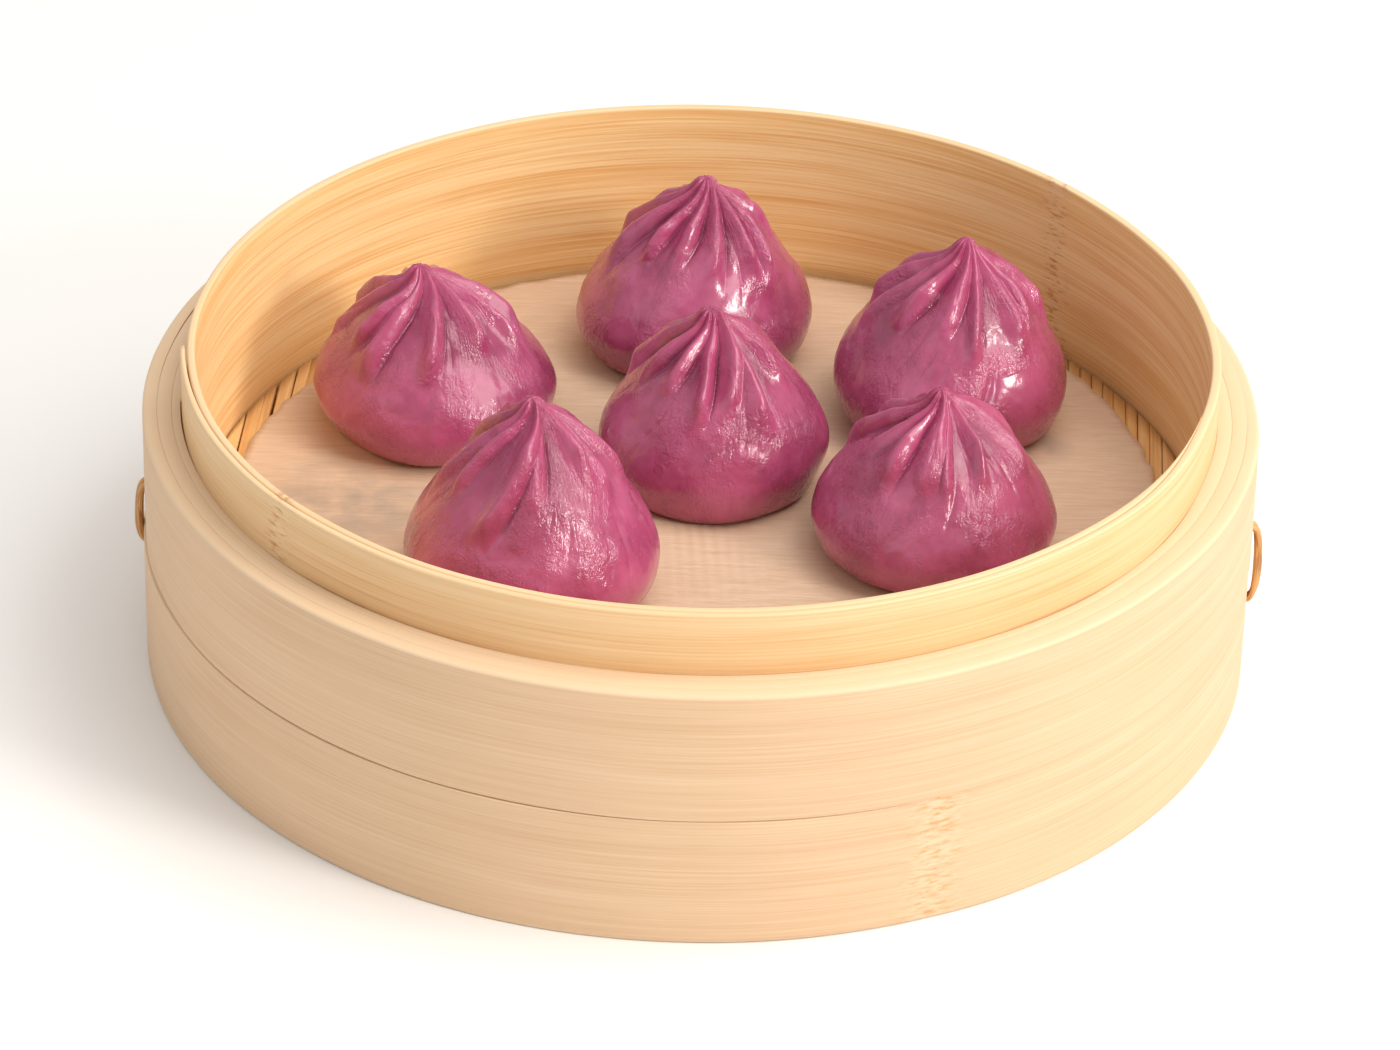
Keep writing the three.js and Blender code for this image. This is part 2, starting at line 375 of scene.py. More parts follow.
@dataclass(frozen=True)
class Bamboo:
    """Split and planed bamboo strip: long straight fibres, a silky matte face, paler cut edges.

    The strip's own lengths are in its UV map, in metres: along the strip and round its section. The
    attribute cut is 1 on cut edges, inside is 1 on the face towards the food, where a golden colour is
    painted in for the warm light bounced inside the ring, and knot is 1 in the middle of a node scar.
    """

    name: str
    dark: str
    middle: str
    light: str
    edge: str
    knot: str
    bounce_tints: tuple[str, str] = ("#eab568", "#ffe0a2")
    bounce_share: float = 0.0
    roughness: float = 0.5
    fibre_length: float = 45.0
    fibre_width: float = 0.45
    streakiness: float = 0.4
    relief: float = 0.25

    def material(self) -> bpy.types.Material:
        """Builds the finish.

        Returns:
            The node material.
        """
        s = Shader(self.name)
        strip = s.add("UVMap", {"uv_map": "length"})

        def noise(length: float, width: float, offset: float, detail: float) -> bpy.types.Node:
            """Noise drawn out along the strip.

            Args:
                length: how long its spots are, in mm.
                width: how wide its spots are, in mm.
                offset: moves the pattern, so that no two noises are alike.
                detail: how many finer layers it has.

            Returns:
                The noise node.
            """
            scale = (1 / (length * MM), 1 / (width * MM), 1)
            moved = (offset, offset, offset)
            spots = s.add("Mapping", {"Scale": scale, "Location": moved}, {"Vector": strip})
            return s.add("TexNoise", {"Scale": 1.0, "Detail": detail, "Roughness": 0.6}, {"Vector": spots})

        fibres = noise(self.fibre_length, self.fibre_width, 3.1, 5.0)
        streaks = noise(self.fibre_length * 3, self.fibre_width * 8, 7.7, 3.0)
        blotches = noise(self.fibre_length * 0.9, self.fibre_width * 40, 1.3, 2.0)
        broad = s.add("Math", {"operation": "MULTIPLY", 1: self.streakiness}, {0: streaks})
        mixed = s.add("Math", {"operation": "MULTIPLY_ADD", 1: 1 - self.streakiness}, {0: fibres, 2: broad})
        grain = ramp_of(
            s.add("ValToRGB", {}, {"Fac": mixed}),
            [(0.33, self.dark), (0.48, self.middle), (0.64, self.light)],
        )
        worn = s.add("MapRange", {"From Min": 0.35, "From Max": 0.7, "To Max": 0.35}, {"Value": blotches})
        patchy = s.add("MixRGB", {"Color2": linear(self.light)}, {"Fac": worn, "Color1": grain})

        cut = s.add("Attribute", {"attribute_name": "cut"})
        cut_share = s.add("Math", {"operation": "MULTIPLY", 1: 0.6}, {0: cut.outputs["Fac"]})
        # Painted bounce light: the inner face is mixed towards a golden colour for the warm light bounced
        # inside the ring.
        inside = s.add("Attribute", {"attribute_name": "inside"})
        bounce_mask = s.add("Math", {"operation": "MULTIPLY", 1: self.bounce_share}, {0: inside.outputs["Fac"]})
        bounce_ramp = ramp_of(
            s.add("ValToRGB", {}, {"Fac": mixed}), [(0.38, self.bounce_tints[0]), (0.58, self.bounce_tints[1])]
        )
        bounce_lit = s.add("MixRGB", {}, {"Fac": bounce_mask, "Color1": patchy, "Color2": bounce_ramp})
        edged = s.add("MixRGB", {"Color2": linear(self.edge)}, {"Fac": cut_share, "Color1": bounce_lit})

        knot = s.add("Attribute", {"attribute_name": "knot"}).outputs["Fac"]
        dashes = noise(2.6, 0.7, 5.2, 2.0)
        pale = s.add("MapRange", {"From Min": 0.5, "From Max": 0.4, "To Max": 0.7}, {"Value": dashes})
        pale_share = s.add("Math", {"operation": "MULTIPLY"}, {0: knot, 1: pale})
        whitened = s.add("MixRGB", {"Color2": linear(self.edge)}, {"Fac": pale_share, "Color1": edged})
        brown = s.add("MapRange", {"From Min": 0.54, "From Max": 0.66, "To Max": 0.8}, {"Value": dashes})
        brown_share = s.add("Math", {"operation": "MULTIPLY"}, {0: knot, 1: brown})
        scarred = s.add("MixRGB", {"Color2": linear(self.knot)}, {"Fac": brown_share, "Color1": whitened})

        pits = s.add("Math", {"operation": "MULTIPLY"}, {0: knot, 1: dashes})
        height = s.add("Math", {"operation": "MULTIPLY_ADD", 1: -1.2}, {0: pits, 2: fibres})
        ripple = s.add("Bump", {"Strength": self.relief, "Distance": 0.0002}, {"Height": height})
        surface = s.add(
            "BsdfPrincipled",
            {"Roughness": self.roughness, "IOR": 1.5, "Specular IOR Level": 0.4},
            {"Base Color": scarred, "Normal": ripple},
        )
        return s.finish(surface)


@dataclass(frozen=True)
class Cane:
    """Split rattan: a hard waxy skin with fine lengthwise fibres."""

    name: str = "split_rattan"
    dark: str = "#8f5a26"
    light: str = "#d9a366"

    def material(self) -> bpy.types.Material:
        """Builds the finish.

        Returns:
            The node material.
        """
        s = Shader(self.name)
        strand = s.add("UVMap", {"uv_map": "length"})
        scaled = s.add("Mapping", {"Scale": (160, 2600, 1)}, {"Vector": strand})
        fibres = s.add("TexNoise", {"Scale": 1.0, "Detail": 3.0}, {"Vector": scaled})
        colour = ramp_of(s.add("ValToRGB", {}, {"Fac": fibres}), [(0.3, self.dark), (0.6, self.light)])
        ripple = s.add("Bump", {"Strength": 0.5, "Distance": 0.0002}, {"Height": fibres})
        surface = s.add("BsdfPrincipled", {"Roughness": 0.45}, {"Base Color": colour, "Normal": ripple})
        return s.finish(surface)


@dataclass(frozen=True)
class Cloth:
    """Thin damp steaming cloth: matte, fine fibres from side to side, greyer where it is wet."""

    name: str = "steaming_cloth"
    thread: str = "#dec2a7"
    shade: str = "#c9a787"
    wet: str = "#9c8f83"
    wet_places: tuple[tuple[float, float, float], ...] = ((-67.0, -2.0, 20.0), (65.0, 24.0, 8.0))

    def material(self) -> bpy.types.Material:
        """Builds the finish.

        Returns:
            The node material.
        """
        s = Shader(self.name)
        place = s.add("TexCoord", {}).outputs["Object"]
        drawn = s.add("Mapping", {"Scale": (70, 900, 1)}, {"Vector": place})
        fibres = s.add(
            "TexNoise", {"Scale": 1.0, "Detail": 6.0, "Roughness": 0.7, "Distortion": 1.6}, {"Vector": drawn}
        )
        colour = ramp_of(s.add("ValToRGB", {}, {"Fac": fibres}), [(0.25, self.shade), (0.7, self.thread)])
        clouds = s.add("TexNoise", {"Scale": 110.0, "Detail": 3.0}, {"Vector": place})
        soaked = s.add("MapRange", {"From Min": 0.36, "From Max": 0.6, "To Max": 0.6}, {"Value": clouds})
        for x, y, radius in self.wet_places:
            away = s.add("VectorMath", {"operation": "DISTANCE", 1: (x * MM, y * MM, 0.0296)}, {0: place})
            near = s.add(
                "MapRange",
                {"From Min": radius * MM, "From Max": 0.3 * radius * MM},
                {"Value": away.outputs["Value"]},
            )
            damp = s.add("Math", {"operation": "MULTIPLY"}, {0: near, 1: soaked})
            colour = s.add("MixRGB", {"Color2": linear(self.wet)}, {"Fac": damp, "Color1": colour})
        ripple = s.add("Bump", {"Strength": 0.35, "Distance": 0.0002}, {"Height": fibres})
        surface = s.add(
            "BsdfPrincipled",
            {"Roughness": 0.85, "Specular IOR Level": 0.25},
            {"Base Color": colour, "Normal": ripple},
        )
        return s.finish(surface)


@dataclass(frozen=True)
class Dough:
    """Steamed wheat dough coloured purple: translucent and mottled, under a wet wrinkled film.

    The UV map is in metres, round the dumpling along its pleats and up. The attribute hollow is 1
    deep between pleats, where a darker colour is mixed in as painted shade, and rise is the share of the
    height.
    """

    name: str = "steamed_dough"
    # deep: the painted shade mixed into the hollows between the pleats
    deep: str = "#74193c"
    dark: str = "#963a5e"
    middle: str = "#a9476e"
    light: str = "#b8577f"
    tip: str = "#ad3566"

    def material(self) -> bpy.types.Material:
        """Builds the finish.

        Returns:
            The node material.
        """
        s = Shader(self.name)
        place = s.add("TexCoord", {}).outputs["Object"]
        clouds = s.add("TexNoise", {"Scale": 95.0, "Detail": 5.0, "Roughness": 0.6}, {"Vector": place})
        colour = ramp_of(
            s.add("ValToRGB", {}, {"Fac": clouds}),
            [(0.34, self.dark), (0.5, self.middle), (0.68, self.light)],
        )
        rise = s.add("Attribute", {"attribute_name": "rise"}).outputs["Fac"]
        tip_share = s.add("MapRange", {"From Min": 0.62, "To Max": 0.65}, {"Value": rise})
        tipped = s.add("MixRGB", {"Color2": linear(self.tip)}, {"Fac": tip_share, "Color1": colour})
        # Painted shade: the hollows between the pleats are darkened towards the deep colour.
        hollow = s.add("Attribute", {"attribute_name": "hollow"}).outputs["Fac"]
        hollow_shade_share = s.add("Math", {"operation": "MULTIPLY", 1: 0.75}, {0: hollow})
        hollow_shaded = s.add("MixRGB", {"Color2": linear(self.deep)}, {"Fac": hollow_shade_share, "Color1": tipped})

        skin = s.add("UVMap", {"uv_map": "length"})
        combed = s.add("Mapping", {"Scale": (1500, 450, 1)}, {"Vector": skin})
        pulled = s.add(
            "TexNoise", {"Scale": 1.0, "Detail": 3.0, "Roughness": 0.5, "Distortion": 0.9}, {"Vector": combed}
        )
        crinkled = s.add(
            "TexNoise",
            {"Scale": 700.0, "Detail": 3.0, "Roughness": 0.6, "Distortion": 1.6},
            {"Vector": place},
        )
        both = s.add("Math", {"operation": "ADD"}, {0: pulled, 1: crinkled})
        patches = s.add("TexNoise", {"Scale": 120.0, "Detail": 1.0}, {"Vector": place})
        wrinkled = s.add("MapRange", {"From Min": 0.42, "From Max": 0.6, "To Min": 0.12}, {"Value": patches})
        height = s.add("Math", {"operation": "MULTIPLY"}, {0: both, 1: wrinkled})
        ripple = s.add("Bump", {"Strength": 0.5, "Distance": 0.0005}, {"Height": height})
        dull = s.add(
            "MapRange", {"From Min": 0.3, "From Max": 0.7, "To Min": 0.22, "To Max": 0.36}, {"Value": clouds}
        )
        surface = s.add(
            "BsdfPrincipled",
            {
                "IOR": 1.45,
                "Specular IOR Level": 0.5,
                "Coat Weight": 0.75,
                "Coat Roughness": 0.08,
                "Coat IOR": 1.5,
                "Subsurface Weight": 0.12,
                "Subsurface Radius": (1.0, 0.35, 0.45),
                "Subsurface Scale": 0.0025,
            },
            {"Base Color": hollow_shaded, "Normal": ripple, "Coat Normal": ripple, "Roughness": dull},
        )
        return s.finish(surface)


# The outer bands: pale and almost plain, matte, with faint streaks
BAND_BAMBOO = Bamboo(
    "wound_bamboo", "#d4ae87", "#dbb893", "#e4c4a1", "#e9ceab", "#d69a58", roughness=0.6, streakiness=0.3
)
# The tall ring: warmer, with clear fibre lines, and painted golden bounce light on the face towards the food
RING_BAMBOO = Bamboo(
    "planed_bamboo", "#d6a468", "#e5bb88", "#edcb9d", "#ebcca2", "#b98046",
    bounce_share=0.7, roughness=0.5, relief=0.4,
)
# Hoop and bars under the floor: darker and rough from the saw
PLAIN_BAMBOO = Bamboo("sawn_bamboo", "#b98a55", "#d2a873", "#e2bf8e", "#e2bf8e", "#8f6434", roughness=0.7)
# The floor slats: orange-brown splits, strongly streaked and ridged
SLAT_BAMBOO = Bamboo(
    "split_bamboo", "#b97f42", "#e0ab69", "#f3c98d", "#b98348", "#8f6434",
    roughness=0.6, fibre_width=0.32, streakiness=0.6, relief=0.5,
)


# The steamer

LAP_START = 184.0
STEP_FROM = 322.0
STEP_TO = 346.0


@dataclass
class Strip:
    """A flat strip carried round the steamer's axis, as arrays along its path.

    A section is a rectangle with rounded corners: a point of it lies at the middle of the wall, plus
    half the wall without the rounding, plus the rounding's radius along the corner's own direction.
    """

    azimuth: Array
    inner: Array
    thickness: Array
    base: Array
    top: Array
    outer_edge: Array
    foot_edge: float = 0.3
    inner_edge: float = 0.12
    knots: tuple[float, ...] = ()
    knot_width: float = 2.4
    seed: int = 1
    corner_steps: int = 4
    side_steps: int = 9

    def section(self) -> tuple[Array, Array, Array, Array]:
        """The section's points in order from the lower outer corner upwards and round.

        Returns:
            For each point the side that it belongs to (1 outside, -1 inside), whether it is at the
            top (1) or at the base (-1), and the two parts of its corner direction.
        """
        quarter = np.linspace(0, math.pi / 2, self.corner_steps)
        between = np.linspace(-1, 1, self.side_steps)[1:-1]
        corners = [(1, -1), (1, 1), (-1, 1), (-1, -1)]
        parts = []
        for number, (side, up) in enumerate(corners):
            angle = quarter + (number - 1) * math.pi / 2
            ones = np.ones_like(angle)
            parts.append(np.stack([side * ones, up * ones, np.cos(angle), np.sin(angle)]))
        face = np.ones_like(between)
        parts.insert(1, np.stack([face, between, face, 0 * face]))
        parts.insert(4, np.stack([-face, -between, -face, 0 * face]))
        side, up, out, rise = np.concatenate(parts, axis=1)
        return side, up, out, rise

    def skin(self, shift: tuple[float, float] = (0, 0)) -> Skin:
        """The strip's closed skin.

        Args:
            shift: where the steamer's axis lies for this strip, in x and y.

        Returns:
            The skin, with lengths for its finish and the attributes cut and knot.
        """
        side, up, out, rise = self.section()
        wall, tall = self.thickness[:, None] / 2, (self.top - self.base)[:, None] / 2
        corner = np.where(up > 0, self.outer_edge[:, None], self.foot_edge)
        corner = np.where(side > 0, corner, self.inner_edge)
        corner = np.minimum(corner, 0.9 * wall)
        radius = self.inner[:, None] + wall + side * (wall - corner) + out * corner
        height = (self.base + self.top)[:, None] / 2 + up * (tall - corner) + rise * corner
        angle = self.azimuth[:, None] + 0 * radius
        place = np.stack([radius * np.cos(angle), radius * np.sin(angle), height], -1)
        scar = np.zeros_like(angle)
        for knot in self.knots:
            lean = math.radians(knot) + 0.0006 * (height - height.mean())
            scar += hump(0, self.knot_width / 100, around(angle - lean))
        waver = np.clip(Unevenness(self.seed, 38).at(place), -1, 1)
        rolling = np.clip(Unevenness(self.seed + 1, 55).at(place), -1, 1)
        radius = radius - 0.09 * (1 + waver) - 0.12 * scar * out
        height = height - 0.06 * (1 + rolling) * up
        points = np.stack([radius * np.cos(angle) + shift[0], radius * np.sin(angle) + shift[1], height], -1)
        length = self.azimuth * self.inner.mean() * MM
        outline = np.stack([radius[0] + 0 * side, height[0]], -1)
        closing = np.vstack([outline, outline[:1]])
        around_it = np.concatenate([[0], np.cumsum(np.linalg.norm(np.diff(closing, axis=0), axis=1))]) * MM
        lengths = np.stack(np.broadcast_arrays(length[:, None], around_it[None, :]), -1)
        cut = np.broadcast_to(np.abs(rise) > 0.3, angle.shape)
        # inside marks the inner face, where the finish paints golden bounce light.
        inside = np.broadcast_to((side < 0) & (np.abs(rise) < 0.3), angle.shape)
        marks = {"cut": cut.astype(float), "inside": inside.astype(float), "knot": np.clip(scar, 0, 1)}
        return carried(points, lengths, marks)


@dataclass
class Band:
    """An outer band: a strip wound three times, its two ends planed thin so that no step shows."""

    node: str
    finish: Bamboo
    shift: tuple[float, float] = (0.0, 0.0)
    wall: float = 8.1
    turns: int = 3
    lap: float = 50.0
    lap_at: float = 70.0
    worn_at: float = 14.0
    worn: float = 0.6
    open_at: float = 160.0
    open_gap: float = 0.0
    knots: tuple[float, ...] = ()
    knot_width: float = 2.4
    seed: int = 5
    step: float = 1.5
    top_edge: float = 0.7
    foot_edge: float = 0.2
    pocket: float = 0.0
    closer: tuple[float, float] = (0.0, 0.0)

    def build(self) -> bpy.types.Object:
        """Winds the strip between the CAD band's inner and outer face.

        On each turn the strip climbs by one layer over the lap, where its inner end grows from thin
        to full and its outer end thins away again. Where the band is worn, its outermost layer is a
        little thinner and lower.

        Returns:
            The band's piece.
        """
        low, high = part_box(self.node)
        outside = (high.y - low.y) / 2 / MM
        pitch = self.wall / self.turns
        turn = np.arange(0, 360 * self.turns + self.lap + self.step / 2, self.step)
        azimuth = turn + self.lap_at
        layer, angle = np.divmod(turn, 360)
        climb = smooth(0, self.lap, angle)
        inner = outside - self.wall + pitch * (np.maximum(layer - 1, 0) + np.where(layer > 0, climb, 0))
        thickness = np.full_like(turn, pitch)
        thickness *= smooth(0, self.lap, turn)
        thickness *= 1 - smooth(360 * self.turns, 360 * self.turns + self.lap, turn)
        outermost = smooth(360 * self.turns - 420, 360 * self.turns - 360 + self.lap, turn)
        worn = self.worn * outermost * hump(0, 0.5, around(np.radians(azimuth - self.worn_at)))
        apart = self.open_gap * hump(0, 0.2, around(np.radians(azimuth - self.open_at))) * outermost
        innermost = 1 - smooth(360, 360 + self.lap, turn)
        bearing = azimuth % 360
        lapped = smooth(LAP_START - 4, LAP_START, bearing) * (1 - smooth(STEP_FROM, STEP_TO, bearing))
        hollow = self.pocket * innermost * lapped
        strip = Strip(
            azimuth=np.radians(azimuth),
            inner=inner + apart + hollow,
            thickness=np.maximum(thickness - worn - apart - hollow, 0.08),
            base=np.full_like(turn, low.z / MM - self.closer[0]),
            top=high.z / MM + self.closer[1] - worn,
            outer_edge=0.12 + (self.top_edge - 0.12) * outermost,
            foot_edge=self.foot_edge,
            knots=self.knots,
            knot_width=self.knot_width,
            seed=self.seed,
        )
        made = strip.skin(self.shift).piece(self.node + "_wound", [self.node], Slot.BAND)
        made.data.materials.append(self.finish.material())
        return made


@dataclass
class InnerRing:
    """The tall inner ring: one strip, wound nearly one and a half times.

    It starts at its outer end at the left, runs over the front, steps inwards over its own planed
    inner end and goes once round the inside. Azimuths are in degrees.
    """

    finish: Bamboo
    outer_end: float = LAP_START
    step_from: float = STEP_FROM
    step_to: float = STEP_TO
    inner_end: float = 705.0
    lap_thickness: float = 1.28
    back_thickness: float = 1.75
    front_thickness: float = 1.45
    end_gap: float = 0.32

    def build(self) -> bpy.types.Object:
        """Winds the strip inside the CAD ring's bore.

        Returns:
            The ring's piece.
        """
        low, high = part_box("inner_ring")
        points = np.array([v.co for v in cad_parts["inner_ring"].data.vertices]) / MM
        bore = float(np.hypot(points[:, 0], points[:, 1]).min())
        turn = np.linspace(self.outer_end, self.inner_end, 420)
        down = smooth(self.step_from, self.step_to, turn)
        spring = self.end_gap * (1 - smooth(self.outer_end, self.outer_end + 16, turn))
        inner = bore + (self.front_thickness + 0.06 + spring) * (1 - down)
        thickness = self.lap_thickness + (self.back_thickness - self.lap_thickness) * smooth(322, 348, turn)
        thickness -= (self.back_thickness - self.front_thickness) * smooth(480, 545, turn)
        thickness *= 0.68 + 0.32 * smooth(self.outer_end, self.outer_end + 18, turn)
        thickness *= 1 - 0.94 * smooth(self.step_from + 360, self.inner_end, turn)
        strip = Strip(
            azimuth=np.radians(turn),
            inner=inner,
            thickness=thickness,
            base=np.full_like(turn, low.z / MM),
            top=np.full_like(turn, high.z / MM),
            outer_edge=np.full_like(turn, 0.42),
            inner_edge=0.4,
            knots=(43.0, 219.0),
            knot_width=3.0,
            seed=11,
        )
        made = strip.skin().piece("inner_ring_wound", ["inner_ring"], Slot.RING)
        made.data.materials.append(self.finish.material())
        return made


@dataclass
class Floor:
    """What carries the food: a hoop in the ring, three cross bars and a mat of split slats."""

    radius: float = 94.5
    pitch: float = 2.36
    turn: float = -3.0
    edge: float = 0.32
    seed: int = 21
    steps: int = 14

    def hoop(self) -> bpy.types.Object:
        """The plain hoop under the bars, one thick strip bent round with its ends butted.

        Returns:
            The hoop's piece.
        """
        low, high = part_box("support_hoop")
        turn = np.linspace(200.4, 559.6, 220)
        outer = (high.x - low.x) / 2 / MM
        wall = 4.0
        strip = Strip(
            azimuth=np.radians(turn),
            inner=np.full_like(turn, outer - wall),
            thickness=np.full_like(turn, wall - 0.15),
            base=np.full_like(turn, low.z / MM),
            top=np.full_like(turn, high.z / MM),
            outer_edge=np.full_like(turn, 0.6),
            inner_edge=0.6,
            seed=31,
        )
        made = strip.skin().piece("support_hoop_bent", ["support_hoop"], Slot.UNDERSIDE)
        made.data.materials.append(PLAIN_BAMBOO.material())
        return made

    def bars(self, offset: Array, angle: Array, width: Array, base: Array, top: Array, short: Array) -> Skin:
        """Straight bars with rounded long edges, their ends cut to follow the ring, all in one skin.

        A bar's point at a distance d from the line through the steamer's axis reaches as far as the
        circle's half chord there, the root of the radius squared less d squared.

        Args:
            offset: how far each bar's middle line is from the axis.
            angle: the azimuth in which that distance is counted, at right angles to the bar.
            width: each bar's width.
            base: each bar's lowest height.
            top: each bar's top.
            short: how far each bar's ends stay off the ring.

        Returns:
            The skin, with lengths for its finish and the attributes cut and knot.
        """
        draw = np.random.default_rng(self.seed)
        ones = np.ones(1)
        plain = Strip(ones, ones, ones, ones, ones, ones, corner_steps=3, side_steps=2)
        side, up, out, rise = plain.section()
        share = np.linspace(-1, 1, self.steps)[None, :, None]
        edge = self.edge
        reach = (width / 2 - edge)[:, None] * side + edge * out
        lift = ((base + top) / 2)[:, None] + ((top - base) / 2 - edge)[:, None] * up + edge * rise
        bend = 0.1 * draw.normal(size=(len(offset), 1, 1)) * np.cos(math.pi / 2 * share)
        aside = offset[:, None, None] + bend + reach[:, None, :]
        along = share * (np.sqrt(self.radius**2 - aside**2) - short[:, None, None])
        turn = angle[:, None, None]
        x = aside * np.cos(turn) - along * np.sin(turn)
        y = aside * np.sin(turn) + along * np.cos(turn)
        points = np.stack([x, y, lift[:, None, :] + 0 * x], -1)
        count, size = len(offset), x.shape[1] * x.shape[2]
        pattern = carried(points[0]).faces
        faces = [[corner + bar * size for corner in face] for bar in range(count) for face in pattern]
        number = np.arange(count)[:, None, None]
        round_it = (aside - offset[:, None, None]) + lift[:, None, :] + 9 * number
        lengths = np.stack([along + 37 * number, round_it], -1)
        corners = lengths.reshape(-1, 2)[np.concatenate([np.array(face) for face in faces])] * MM
        ends = np.broadcast_to(np.abs(share) > 0.999, x.shape).astype(float)
        return Skin(points.reshape(-1, 3), faces, corners, {"cut": ends, "knot": 0 * ends})

    def cross_bars(self) -> bpy.types.Object:
        """The three bars from side to side under the slats.

        Returns:
            The bars as one piece.
        """
        names = ["cross_bar_front", "cross_bar_middle", "cross_bar_back"]
        low = np.array([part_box(name)[0][:] for name in names]) / MM
        high = np.array([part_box(name)[1][:] for name in names]) / MM
        quarter = np.full(3, math.pi / 2)
        middle = (low[:, 1] + high[:, 1]) / 2
        skin = self.bars(middle, quarter, high[:, 1] - low[:, 1], low[:, 2], high[:, 2], np.full(3, 0.3))
        made = skin.piece("cross_bars_sawn", names, Slot.UNDERSIDE)
        made.data.materials.append(PLAIN_BAMBOO.material())
        return made

    def slats(self) -> bpy.types.Object:
        """Split slats of uneven width and length, from front to back inside the ring.

        Returns:
            The slats as one piece.
        """
        low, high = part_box("slat_mat")
        draw = np.random.default_rng(self.seed)
        count = int(2 * (self.radius - 1.5) / self.pitch)
        width = np.clip(draw.normal(self.pitch, 0.22, count), 1.7, 2.9)
        room = draw.uniform(0.03, 0.13, count) + 0.4 * (draw.uniform(size=count) > 0.97)
        edge = np.cumsum(width + room)
        scale = 2 * (self.radius - 1.5) / edge[-1]
        offset = (edge - (width + room) / 2) * scale - self.radius + 1.5
        angle = np.radians(self.turn + draw.normal(0, 0.1, count))
        top = high.z / MM - np.abs(draw.normal(0, 0.12, count))
        base = np.full(count, low.z / MM + 0.05)
        skin = self.bars(offset, angle, width * scale, base, top, draw.uniform(0.05, 0.9, count))
        made = skin.piece("slats", ["slat_mat"], Slot.SLATS)
        made.data.materials.append(SLAT_BAMBOO.material())
        return made


@dataclass
class Liner:
    """A round steaming cloth laid on the slats."""

    around_steps: int = 320
    rings: int = 56

    def build(self) -> bpy.types.Object:
        """The cloth: a disc with a slightly uneven edge that follows the slats and lifts a little.

        Returns:
            The cloth's piece, laid on the slats.
        """
        low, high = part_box("liner")
        centre = np.array([(low.x + high.x) / 2, (low.y + high.y) / 2]) / MM
        radius = (high.x - low.x) / 2 / MM
        base, top = low.z / MM, high.z / MM
        angle = np.linspace(0, math.tau, self.around_steps, endpoint=False)
        share = np.linspace(0, 1, self.rings)
        profile = np.concatenate([share, [1.0], share[::-1]])
        level = np.concatenate([np.zeros(self.rings), [0.5], np.ones(self.rings)])
        edge = np.stack([60 * np.cos(angle), 60 * np.sin(angle), 0 * angle], -1)
        reach = radius - 0.6 + 0.3 * Unevenness(41, 30).at(edge) + 0.3 * Unevenness(42, 4).at(edge)
        reach -= 2.6 * hump(0, 0.2, around(angle - math.radians(152)))
        flat = reach[:, None] * profile[None, :]
        x, y = centre[0] + flat * np.cos(angle)[:, None], centre[1] + flat * np.sin(angle)[:, None]
        place = np.stack([x, y, 0 * x], -1)
        lift = 0.12 * Unevenness(43, 26).at(place) + 0.05 * np.sin(math.tau * (x + 0.052 * y) / 2.36)
        thick = (top - base) * (0.2 + 0.5 * level)[None, :]
        points = np.stack([x, y, base + 0.05 + thick + lift], -1)
        lengths = np.concatenate([points, points[:1]])[..., :2] * MM
        made = turned(points, lengths).piece("steaming_cloth", ["liner"], Slot.CLOTH)
        made.data.materials.append(Cloth().material())
        return made


